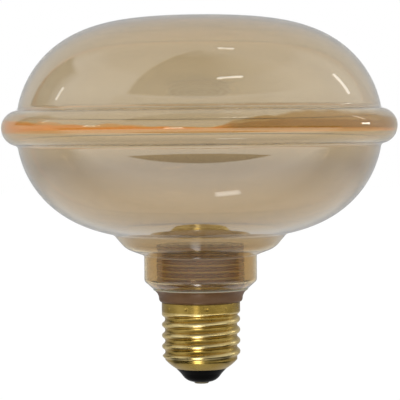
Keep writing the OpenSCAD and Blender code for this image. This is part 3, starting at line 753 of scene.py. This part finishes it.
# %% Finishes of the driver's board and capacitors
green_mask, tree, shader = material("solder_mask_screened_green", IOR=1.5)
weave = add(tree, "TexChecker", {"Vector": place(tree), "Scale": 1 / (0.4 * MM)}).outputs["Fac"]
finish(tree, shader, blend(tree, weave, "1f6a3c", "226f42"),
       spread(tree, grains(tree, 1), 0.22, 0.36))
relief(tree, shader, weave, 0.004, strength=0.4)
dress(green_mask, "driver_board")

sleeve, tree, shader = material("pet_sleeve_shrunk_navy", IOR=1.57)
finish(tree, shader, blend(tree, grains(tree, 2), "1b2338", "222c45"),
       spread(tree, grains(tree, 1), 0.2, 0.35))
relief(tree, shader, grains(tree, 1.5, stretch=(1, 1, 0.25)), 0.02, strength=0.5)
dress(sleeve, "input_capacitor", "output_capacitor")

# %% [markdown]
# The inductor is a drum of ground grey ferrite with enamelled copper turns 0.2 mm apart. The bridge
# rectifier and the driver chip are moulded in black resin, and the fuse resistor is dipped in lacquer.

# %% Finishes of the driver's other parts
ferrite, tree, shader = material("ferrite_pressed_ground", IOR=1.7)
finish(tree, shader, blend(tree, grains(tree, 0.25, detail=4), "2f3032", "45464a"),
       spread(tree, grains(tree, 0.4), 0.55, 0.75))
relief(tree, shader, grains(tree, 0.15, detail=3), 0.01)
dress(ferrite, "inductor_core")

copper_wire, tree, shader = material("copper_wire_enamelled", Metallic=1.0, Coat_Weight=0.8)
turns = add(tree, "TexWave", {"Vector": place(tree), "Scale": 1 / (0.2 * MM) / 20},
            bands_direction="Z").outputs["Fac"]
finish(tree, shader, blend(tree, turns, "8a4520", "c8743c"),
       spread(tree, grains(tree, 0.5), 0.2, 0.35))
relief(tree, shader, turns, 0.08)
dress(copper_wire, "inductor_winding")

black_resin, tree, shader = material("epoxy_moulded_black", IOR=1.55)
finish(tree, shader, blend(tree, grains(tree, 0.3), "161617", "232325"),
       spread(tree, grains(tree, 0.3), 0.45, 0.6))
relief(tree, shader, grains(tree, 0.12, detail=2), 0.006)
dress(black_resin, "bridge_rectifier", "driver_chip")

lacquer, tree, shader = material("lacquer_dipped_green", IOR=1.5, Coat_Weight=0.4)
finish(tree, shader, blend(tree, grains(tree, 1), "4c7a62", "416c56"),
       spread(tree, grains(tree, 0.8), 0.25, 0.4))
dress(lacquer, "fuse_resistor")

# %% [markdown]
# The studio is a pale room with a white screen behind the bulb. What the eye sees behind the bulb
# and through it is plain white, so the world is white for rays from the camera, and also for rays
# that have passed through glass, apart from a dark part of the ceiling. Mirror rays see more of the
# room: the white background straight behind the bulb, grey screens beside it that give the glass its
# edges, a grey ceiling with that dark part, a dim wall behind the camera and a dark screen on the
# left. Matt surfaces get one plain level from all sides.

# %% Directions in the room
world = bpy.data.worlds.new("pale_room")
bpy.context.scene.world = world
tree = empty_tree(world)
look = add(tree, "SeparateXYZ", {0: add(tree, "TexCoord").outputs["Generated"]})


def frontward(tree, split):
    """How far a point lies towards the front, the -Y side. split is a Separate XYZ node."""
    return add(tree, "Math", {0: split.outputs["Y"], 1: -1}, operation="MULTIPLY").outputs[0]


def turn_of(tree, split):
    """The turn around Z from the front, in radians, rising to the right."""
    sides = {0: split.outputs["X"], 1: frontward(tree, split)}
    return add(tree, "Math", sides, operation="ARCTAN2").outputs[0]


around = turn_of(tree, look)
sideways = add(tree, "Math", {0: around}, operation="ABSOLUTE").outputs[0]
print("world:", world.name)

# %% [markdown]
# Each part of the room is a mask: a range of turns, from 0 at the front to 180 degrees at the back
# with those on the left below 0, and a range of heights, from -1 straight down to 1 straight up.

# %% Parts of the room
BEHIND, STRAIGHT_BEHIND = (122, 132), (165, 172)


def patch(low_turn, high_turn, low_up, high_up, fade=2):
    """A mask for a patch of the room. Turns are in degrees and rise to the right."""
    low, high, soft, faded = (radians(v) for v in (low_turn, high_turn, 2, fade))
    up, soft_up = look.outputs["Z"], 0.02
    return within(tree, spread(tree, around, 0, 1, (low - soft, low + soft)),
                  spread(tree, up, 0, 1, (low_up - soft_up, low_up + soft_up)),
                  spread(tree, around, 1, 0, (high - faded, high + faded)),
                  spread(tree, up, 1, 0, (high_up - soft_up, high_up + soft_up)))


dark_ceiling = patch(-50, 45, 0.52, 0.998, fade=35)
dim_wall = patch(-58, 48, -0.2, 0.5, fade=8)
dark_left = patch(-134, -108, 0.12, 0.62, fade=7)
behind = spread(tree, sideways, 0, 1, [radians(v) for v in BEHIND])
straight_behind = spread(tree, sideways, 0, 1, [radians(v) for v in STRAIGHT_BEHIND])
near_level = spread(tree, look.outputs["Z"], 1, 0, (0.1, 0.16))
overhead = spread(tree, look.outputs["Z"], 0, 1, (0.76, 0.82))
print("two dark patches and a dim one")

# %% [markdown]
# The levels are chosen one after the other: first what a mirror sees, from the walls to the patches,
# and then by the kind of ray, with the plain level for matt surfaces as the start. A level of 1 is
# white.

# %% Levels of the room
ROOM_LIGHT, SCREEN, CEILING, WALLS, DIM, DARK = 0.85, 0.45, 0.5, 0.66, 0.44, 0.03
DARK_THROUGH_GLASS = 0.5

in_mirrors = choose(tree, behind, WALLS, SCREEN)
in_mirrors = choose(tree, within(tree, straight_behind, near_level), in_mirrors, 1.0)
in_mirrors = choose(tree, overhead, in_mirrors, CEILING)
in_mirrors = choose(tree, dim_wall, in_mirrors, DIM)
for dark_patch in (dark_left, dark_ceiling):
    in_mirrors = choose(tree, dark_patch, in_mirrors, DARK)
through_glass = choose(tree, dark_ceiling, 1.0, DARK_THROUGH_GLASS)
path = add(tree, "LightPath")
level = choose(tree, path.outputs["Is Glossy Ray"], ROOM_LIGHT, in_mirrors)
level = choose(tree, path.outputs["Is Transmission Ray"], level, through_glass)
level = choose(tree, path.outputs["Is Camera Ray"], level, 1.0)
background = add(tree, "Background", {"Color": (1, 1, 1, 1), "Strength": level})
add(tree, "OutputWorld", {"Surface": background.outputs[0]})
print("level for matt surfaces", ROOM_LIGHT, "and for mirrors from", DARK, "to 1")

# %% [markdown]
# Soft lamps stand around the bulb, each with a size and a place that its glint shows: a low one near
# the camera, two slim ones near the ceiling for the thin glints on the dome, a tall and a low one on
# the right and two on the left. A lamp's power is its brightness times its area, so that its glint
# keeps its brightness when its size changes.

# %% Lamps
LAMP_DISTANCE = 1.3
WATTS_PER_AREA = 4  # an area lamp of 4 W on each square metre has a brightness of 1


def lamp(name, turn, up, width, height, brightness):
    """A soft lamp facing the bulb. Its place and its size are angles in degrees, seen from there."""
    data = bpy.data.lights.new(name, "AREA")
    data.shape = "RECTANGLE"
    data.size, data.size_y = (2 * LAMP_DISTANCE * tan(radians(v) / 2) for v in (width, height))
    data.energy = brightness * data.size * data.size_y * WATTS_PER_AREA
    light = bpy.data.objects.new(name, data)
    bpy.context.scene.collection.objects.link(light)
    t, u = radians(turn), radians(up)
    towards = Vector((sin(t) * cos(u), -cos(t) * cos(u), sin(u)))
    light.location = Vector((0, 0, EQUATOR_Z * MM)) + towards * LAMP_DISTANCE
    light.rotation_euler = towards.to_track_quat("Z", "Y").to_euler()
    light.visible_camera = False
    print(name, round(data.size, 2), "x", round(data.size_y, 2), "m", round(data.energy, 2), "W")


lamp("lamp_front_low", -14, -7, 11, 4, 3.5)
lamp("lamp_ceiling_near", 25, 50, 14, 2, 2.2)
lamp("lamp_ceiling_far", 97, 80, 2, 6, 1.6)
lamp("lamp_right_tall", 112, 25, 3, 14, 1.2)
lamp("lamp_right_low", 108, 6, 8, 5, 5.0)
lamp("lamp_left_high", -103, 22, 2, 9, 1.0)
lamp("lamp_left_low", -62, 7, 11, 3, 2.5)

# %% [markdown]
# The floor is a plain pale sheet well below the bulb, which hangs free in the picture.

# %% Floor
FLOOR_REACH, FLOOR_Z = 6.0, -0.12

corners = [(x * FLOOR_REACH, y * FLOOR_REACH, FLOOR_Z) for x, y in ((-1, -1), (1, -1), (1, 1), (-1, 1))]
floor_mesh = bpy.data.meshes.new("floor")
floor_mesh.from_pydata(corners, [], [(0, 1, 2, 3)])
floor = bpy.data.objects.new("floor", floor_mesh)
bpy.context.scene.collection.objects.link(floor)
print("floor at", FLOOR_Z, "m")

# %% [markdown]
# Mirror rays see their own levels on the floor. In front it is bright, which lays the soft veil over
# the bowl, and behind the bulb it is dimmer. The front ends in a dark strip, which shows as the dark
# stripe high in the bowl, and one small bright patch gives the bowl its glint. The places were found
# by following mirrored rays down to the floor. Here too an edge is a place and its softness.

# %% Levels for mirrors
FRONT_EDGE, NEAR_EDGE, BACK_EDGE = (100, 80), (150, 60), (500, 100)
STRIP_OUTER, STRIP_FRONT, FAR_EDGE = (448, 6), (318, 6), (1300, 150)
SHINE_X, SHINE_Y, SHINE_SOFT = (28, 74), (93, 114), 4
FRONT, FRONT_NEAR, BACK, BACK_FAR, DARK_FLOOR, SHINE = 1.35, 1.25, 0.62, 0.45, 0.0, 2.7

paper = bpy.data.materials.new("paper_matt_white")
tree = empty_tree(paper)
here = add(tree, "SeparateXYZ", {0: place(tree)})
across, forward, radius = here.outputs["X"], frontward(tree, here), from_axis(tree, here)
front = past(tree, forward, *FRONT_EDGE)
strip = within(tree, short_of(tree, radius, *STRIP_OUTER), past(tree, forward, *STRIP_FRONT))
far = within(tree, past(tree, radius, *FAR_EDGE), front)
shine = within(tree, past(tree, across, SHINE_X[0], SHINE_SOFT),
               short_of(tree, across, SHINE_X[1], SHINE_SOFT),
               past(tree, forward, SHINE_Y[0], SHINE_SOFT),
               short_of(tree, forward, SHINE_Y[1], SHINE_SOFT))
in_front = choose(tree, past(tree, radius, *NEAR_EDGE), FRONT_NEAR, FRONT)
at_back = choose(tree, past(tree, radius, *BACK_EDGE), BACK, BACK_FAR)
level = choose(tree, front, at_back, in_front)
for dark_part in (strip, far):
    level = choose(tree, dark_part, level, DARK_FLOOR)
level = choose(tree, shine, level, SHINE)
print("levels for mirrors from", DARK_FLOOR, "to", SHINE)

# %% [markdown]
# White paper is lit like any matt surface and so holds the bulb's shadow. A glow is mixed in for the
# camera and for rays through glass, as strong as it takes for the two together to reach white.

# %% White paper
GLOW, GLOW_SHARE = 1.14, 0.8

matt = add(tree, "BsdfDiffuse", {"Color": linear("c8c8c8")})
glow = add(tree, "Emission", {"Color": (1, 1, 1, 1), "Strength": GLOW})
mirrored = add(tree, "Emission", {"Color": (1, 1, 1, 1), "Strength": level})
path = add(tree, "LightPath")
shaded = add(tree, "MixShader", {0: path.outputs["Is Glossy Ray"], 1: matt.outputs[0],
                                 2: mirrored.outputs[0]})
share = choose(tree, path.outputs["Is Transmission Ray"], 0.0, GLOW_SHARE)
share = choose(tree, path.outputs["Is Camera Ray"], share, GLOW_SHARE)
mixed = add(tree, "MixShader", {0: share, 1: shaded.outputs[0], 2: glow.outputs[0]})
add(tree, "OutputMaterial", {"Surface": mixed.outputs[0]})
floor_mesh.materials.append(paper)
print("paper glows at", GLOW, "for the eye")

# %% [markdown]
# A photographer gives bright metal its dark lines with a black card just outside the picture. Here
# the card is a flat ring around the tip of the cap, so that the undersides of the thread turn dark.

# %% Card under the cap
CARD_IN, CARD_OUT, CARD_STEPS = 13, 42, 72

corners = [(r * sin(a) * MM, -r * cos(a) * MM, 0) for r in (CARD_IN, CARD_OUT)
           for a in (2 * pi * i / CARD_STEPS for i in range(CARD_STEPS))]
faces = [(i, (i + 1) % CARD_STEPS, (i + 1) % CARD_STEPS + CARD_STEPS, i + CARD_STEPS)
         for i in range(CARD_STEPS)]
card_mesh = bpy.data.meshes.new("card_ring")
card_mesh.from_pydata(corners, [], faces)
card = bpy.data.objects.new("card_ring", card_mesh)
bpy.context.scene.collection.objects.link(card)
print("card from", CARD_IN, "to", CARD_OUT, "mm")

# %% [markdown]
# Only mirror rays see the card, and only its front half from less than 46 mm away: for all others it
# is clear. One narrow sector is bright, for the line of light that runs down the thread.

# %% Black card
CARD_REACH, CARD_DARK, CARD_BRIGHT = 46, 0.03, 6.0
SECTOR, SECTOR_SOFT = (-17, -1), 0.06

black_card = bpy.data.materials.new("card_matt_black")
tree = empty_tree(black_card)
here = add(tree, "SeparateXYZ", {0: place(tree)})
turned = turn_of(tree, here)
first, last = (radians(v) for v in SECTOR)
sector = within(tree, spread(tree, turned, 0, 1, (first - SECTOR_SOFT, first + SECTOR_SOFT)),
                spread(tree, turned, 1, 0, (last - SECTOR_SOFT, last + SECTOR_SOFT)))
brightness = choose(tree, sector, CARD_DARK, CARD_BRIGHT)
shown = add(tree, "Emission", {"Color": (1, 1, 1, 1), "Strength": brightness})
path = add(tree, "LightPath")
bare = choose(tree, path.outputs["Is Transmission Ray"], 1.0, 0.0)
mirrored = within(tree, path.outputs["Is Glossy Ray"], bare, past(tree, frontward(tree, here), 0, 3),
                  short_of(tree, path.outputs["Ray Length"], CARD_REACH, 4))
clear = add(tree, "BsdfTransparent")
mixed = add(tree, "MixShader", {0: mirrored, 1: clear.outputs[0], 2: shown.outputs[0]})
add(tree, "OutputMaterial", {"Surface": mixed.outputs[0]})
card_mesh.materials.append(black_card)
print("card shown to mirrors within", CARD_REACH, "mm")
